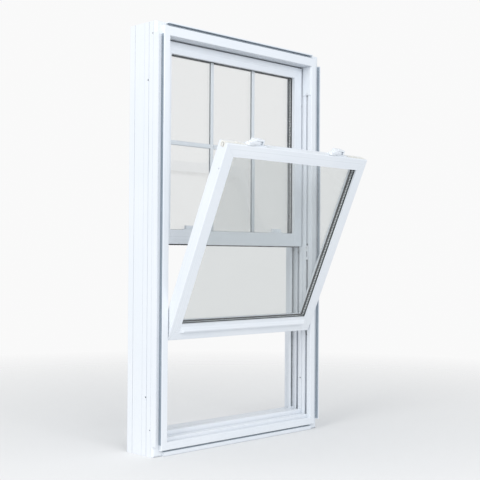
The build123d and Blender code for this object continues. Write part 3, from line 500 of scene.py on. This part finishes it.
STOP_FACE_Y = -58.0 + 72.0
HEAD_PILE_Z = 1073.5
LEVEL_PILE_X = 262.0
SASH_BACK_Y = 31.9
SIDES = ((-1, "left"), (1, "right"))
for side, word in SIDES:
    x = side * 272.0
    pile_strip("jamb_pile_" + word, (x, STOP_FACE_Y, 62), (x, STOP_FACE_Y, 1072), (0, -1, 0),
               3.0, 5.0, "frame", 7 + side)
pile_strip("head_pile", (-LEVEL_PILE_X, STOP_FACE_Y, HEAD_PILE_Z), (LEVEL_PILE_X, STOP_FACE_Y, HEAD_PILE_Z),
           (0, -1, 0), 3.0, 5.0, "frame", 3)
pile_strip("meeting_pile", (-LEVEL_PILE_X, 4, 0.1), (LEVEL_PILE_X, 4, 0.1), (0, 0, -1),
           3.2, 6.0, "upper_sash", 11, UPPER_PLACE, black_rubber)
for side, word in SIDES:
    x = side * 266.0
    pile_strip("lower_pile_" + word, (x, SASH_BACK_Y, 20), (x, SASH_BACK_Y, 520), (0, 1, 0),
               1.6, 4.8, "lower_sash", 20 + side, LOWER_PLACE)


def bar_mesh(name, boxes, bevel=0.3):
    """Straight strips between two corners, with their long edges broken."""
    made = bmesh.new()
    for low, high in boxes:
        before = set(made.verts)
        bmesh.ops.create_cube(made, size=1.0)
        for vertex in set(made.verts) - before:
            for axis in range(3):
                middle, reach = (low[axis] + high[axis]) / 2, high[axis] - low[axis]
                vertex.co[axis] = (middle + vertex.co[axis] * reach) * MM
    bmesh.ops.bevel(made, geom=list(made.edges), offset=bevel * MM, segments=1, affect="EDGES")
    mesh = bpy.data.meshes.new(name)
    made.to_mesh(mesh)
    made.free()
    return mesh


# Thin blue-grey strips lining the frame's accessory grooves, on the lip sides, the fin sides, the head and the
# sill: painted shade where the grooves lie in shadow.
LIP_SIDE_X = 276.0 + 20.0
FIN_INSIDE_X = 315.5 - 3.0
GROOVE_FRONT_Y, GROOVE_BACK_Y = -56.9, -48.2
HEAD_GROOVE_X = 279.0
for side, word in SIDES:
    lining = []
    for x0, x1 in ((LIP_SIDE_X + 0.02, LIP_SIDE_X + 0.9), (FIN_INSIDE_X - 0.9, FIN_INSIDE_X - 0.02)):
        xs = sorted((side * x0, side * x1))
        lining.append(((xs[0], GROOVE_FRONT_Y, 30.0), (xs[1], GROOVE_BACK_Y, 1080.0)))
    name = "groove_seal_" + word
    piece(name, bar_mesh(name, lining), "frame", "seal_rubber", groove_shade_grey)
head_lining = [((-HEAD_GROOVE_X, GROOVE_FRONT_Y, low), (HEAD_GROOVE_X, GROOVE_BACK_Y, high))
               for low, high in ((1107.9, 1108.95), (1102.02, 1103.0))]
piece("groove_seal_head", bar_mesh("groove_seal_head", head_lining), "frame", "seal_rubber", groove_shade_grey)
sill_lining = [((-282.0, -53.5, 11.1), (282.0, -48.2, 12.4))]
piece("groove_seal_sill", bar_mesh("groove_seal_sill", sill_lining), "frame", "seal_rubber", groove_shade_grey)


# a dark ring of four thin strips round the hole of each latch bolt, painted shade where the bolt's pocket lies
# in shadow, as (depth, height) corners
BOLT_SHADE_EDGES = (((12.0, 523.2), (20.0, 523.5)), ((12.0, 532.7), (20.0, 533.2)),
                ((11.6, 523.2), (12.4, 533.2)), ((19.6, 523.2), (20.4, 533.2)))
for side, word in SIDES:
    x0, x1 = sorted((side * (HALF_SASH + 0.02), side * (HALF_SASH + 0.35)))
    shade_ring = [((x0, y0, z0), (x1, y1, z1)) for (y0, z0), (y1, z1) in BOLT_SHADE_EDGES]
    name = "bolt_collar_" + word
    piece(name, bar_mesh(name, shade_ring, 0.1), "lower_sash", "seal_rubber", gasket_and_shade_rubber, LOWER_PLACE)


RIBBON = 0.28
STEPS_PER_TURN = 28
COIL_CORE = 2.4
COIL_TURNS = 6


def spiral_mesh(name, centres, outer, inner, turns, half_width):
    """A flat spring rolled into a spiral, one for each centre."""
    points, faces = [], []
    steps = turns * STEPS_PER_TURN
    for cx, cy, cz, side in centres:
        first = len(points)
        for index in range(steps + 1):
            angle = 2 * math.pi * turns * index / steps
            radius = outer - (outer - inner) * index / steps
            for offset in (0, -RIBBON):
                for width in (-half_width, half_width):
                    points.append((cx + side * (radius + offset) * math.cos(angle), cy + width,
                                   cz + (radius + offset) * math.sin(angle)))
        for index in range(steps):
            a, b = first + 4 * index, first + 4 * index + 4
            faces += [(a, a + 1, b + 1, b), (a + 2, b + 2, b + 3, a + 3),
                      (a, b, b + 2, a + 2), (a + 1, a + 3, b + 3, b + 1)]
    return mesh_from(name, points, faces, True)


for word in ("lower", "upper"):
    low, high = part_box(word + "_coils")
    middle_y, middle_z = (low.y + high.y) / 2 / MM, (low.z + high.z) / 2 / MM
    outer = (high.z - low.z) / 2 / MM
    reach = high.x / MM - outer
    half_width = (high.y - low.y) / 2 / MM
    centres = [(side * reach, middle_y, middle_z, side) for side in (-1, 1)]
    name = word + "_spring_coils"
    piece(name, spiral_mesh(name, centres, outer, COIL_CORE, COIL_TURNS, half_width), "frame",
          "spring_steel", spring_steel, None, (word + "_coils",))


# --- light, floor and camera -------------------------------------------------------------------

def area_light(name, position, aim, size, power, colour):
    """A soft rectangular lamp turned towards a point."""
    data = bpy.data.lights.new(name, "AREA")
    data.shape = "RECTANGLE"
    data.size, data.size_y = size
    data.energy = power
    data.color = colour
    light = bpy.data.objects.new(name, data)
    scene.collection.objects.link(light)
    light.location = position
    light.rotation_euler = (Vector(aim) - Vector(position)).to_track_quat("-Z", "Y").to_euler()


def studio_world(seen, fill):
    """A plain backdrop colour where it is looked at, and a softer cool fill for lighting."""
    world = bpy.data.worlds.new("studio")
    scene.world = world
    world.use_nodes = True
    tree = world.node_tree
    tree.nodes.clear()
    path = tree.nodes.new("ShaderNodeLightPath")
    either = tree.nodes.new("ShaderNodeMath")
    either.operation = "MAXIMUM"
    tree.links.new(path.outputs["Is Camera Ray"], either.inputs[0])
    tree.links.new(path.outputs["Is Transmission Ray"], either.inputs[1])
    mix = tree.nodes.new("ShaderNodeMixShader")
    tree.links.new(either.outputs[0], mix.inputs[0])
    for socket, colour in ((mix.inputs[1], fill), (mix.inputs[2], seen)):
        background = tree.nodes.new("ShaderNodeBackground")
        background.inputs["Color"].default_value = (*colour, 1)
        tree.links.new(background.outputs[0], socket)
    output = tree.nodes.new("ShaderNodeOutputWorld")
    tree.links.new(mix.outputs[0], output.inputs["Surface"])


BACKDROP = (0.95, 0.95, 0.95)
FILL = (0.64, 0.66, 0.68)
studio_world(BACKDROP, FILL)
area_light("key", (-4.6, -0.9, 2.8), (0, 0, 0.8), (2.0, 2.4), 98, (1.0, 0.99, 0.97))
area_light("front", (-0.9, -2.3, 1.7), (0, 0, 1.1), (1.6, 1.0), 24, (0.97, 0.98, 1.0))

FLOOR_REACH = 2.6
FADE_START = 0.25
bpy.ops.mesh.primitive_circle_add(vertices=96, radius=FLOOR_REACH, fill_type="NGON")
floor = bpy.context.object
floor.name = "floor"
pale = Shader("pale_floor")
spot = pale.place()
mottle = pale.noise(spot, 1.2)
pale.join(pale.blend(mottle, (0.85, 0.85, 0.85, 1), (0.87, 0.87, 0.87, 1)), pale.surface.inputs["Base Color"])
pale.set(Roughness=0.9, Specular_IOR_Level=0.1)
distance = pale.add("ShaderNodeVectorMath", operation="LENGTH")
pale.join(spot, distance.inputs[0])
fade = pale.between(distance.outputs["Value"], 1.0, 0.0, FADE_START, FLOOR_REACH * 0.96)
pale.join(fade, pale.surface.inputs["Alpha"])
paint(floor, pale.material)

CAMERA_PLACE = Vector((-1.8647, -1.9239, 0.5135))
YAW = math.radians(-44.674)
PITCH = math.radians(0.928)
ROLL = math.radians(0.372)
camera_data = bpy.data.cameras.new("camera")
camera_data.lens = 71.66
camera_data.sensor_width = 36
camera = bpy.data.objects.new("camera", camera_data)
scene.collection.objects.link(camera)
camera.matrix_world = (
    Matrix.Translation(CAMERA_PLACE)
    @ Matrix.Rotation(YAW, 4, "Z")
    @ Matrix.Rotation(PITCH + math.pi / 2, 4, "X")
    @ Matrix.Rotation(ROLL, 4, "Z")
)
scene.camera = camera
scene.view_settings.view_transform = "Standard"
